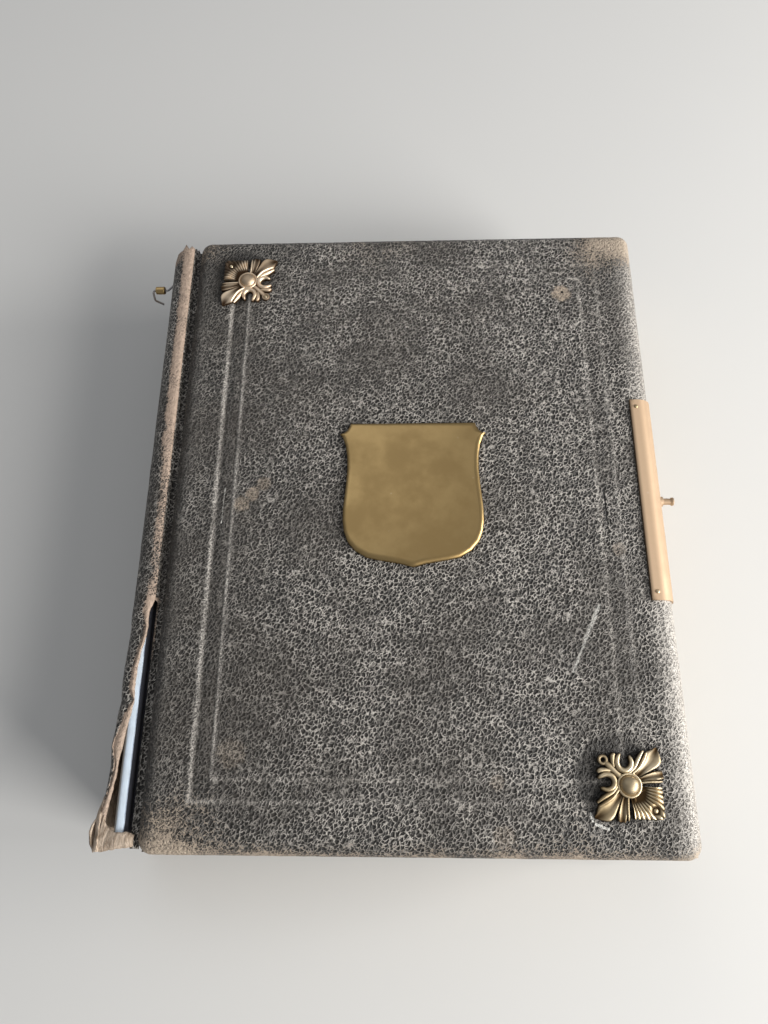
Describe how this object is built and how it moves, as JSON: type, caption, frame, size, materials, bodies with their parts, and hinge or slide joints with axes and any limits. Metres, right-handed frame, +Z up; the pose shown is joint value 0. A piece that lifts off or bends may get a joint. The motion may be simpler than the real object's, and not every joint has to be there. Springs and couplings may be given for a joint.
{
  "type": "photo album",
  "caption": "Worn leather photo album with thick gilt-edged leaves, a bare brass shield, cast corner mounts, a torn spine, hinged covers and a push-button fore-edge clasp.",
  "frame": {"origin": "centre of the back cover's flat underside, on which the closed album lies", "axes": "+Z up through the closed album, +X from the spine to the fore edge, +Y from the tail to the head"},
  "size_m": [0.2448, 0.284, 0.062],
  "materials": {
    "leather": "worn pebble-grain black leather",
    "spine_leather": "rubbed and torn black-brown leather",
    "board": "raw millboard",
    "paper": "aged lining paper",
    "lining": "pale smooth lining paper",
    "leaves": "card leaves with dulled gilt edges",
    "brass": "aged brass",
    "steel": "dull steel"
  },
  "bodies": {
    "back_cover": {"back_board": "board", "back_leather": "leather", "back_pastedown": "paper", "catch_plate": "brass", "catch_plate_nails": "brass"},
    "leaf_block": {"page_block": "leaves", "spine_lining": "lining", "spine_leather": "spine_leather", "spine_wire": "steel", "spine_barrel": "brass"},
    "front_cover": {"front_board": "board", "front_leather": "leather", "front_pastedown": "paper", "shield_plate": "brass", "corner_mount_upper_left": "brass", "corner_mount_lower_right": "brass", "mount_nails": "brass", "clasp_plate": "brass", "clasp_plate_nails": "brass", "clasp_spring": "steel"},
    "button": {"clasp_button": "brass"}
  },
  "joints": [
    {"name": "back_joint", "type": "hinge", "parent": "back_cover", "child": "leaf_block", "pos_m": [-0.1083, 0, 0.0005], "axis": [0, -1, 0], "range_deg": [0, 95]},
    {"name": "front_joint", "type": "hinge", "parent": "leaf_block", "child": "front_cover", "pos_m": [-0.1083, 0, 0.0575], "axis": [0, -1, 0], "range_deg": [0, 180]},
    {"name": "button_press", "type": "slide", "parent": "front_cover", "child": "button", "axis": [1, 0, 0], "range_m": [-0.002, 0], "stiffness_N_per_m": 400, "springref_m": 0.003, "deforming": ["clasp_spring"]}
  ]
}
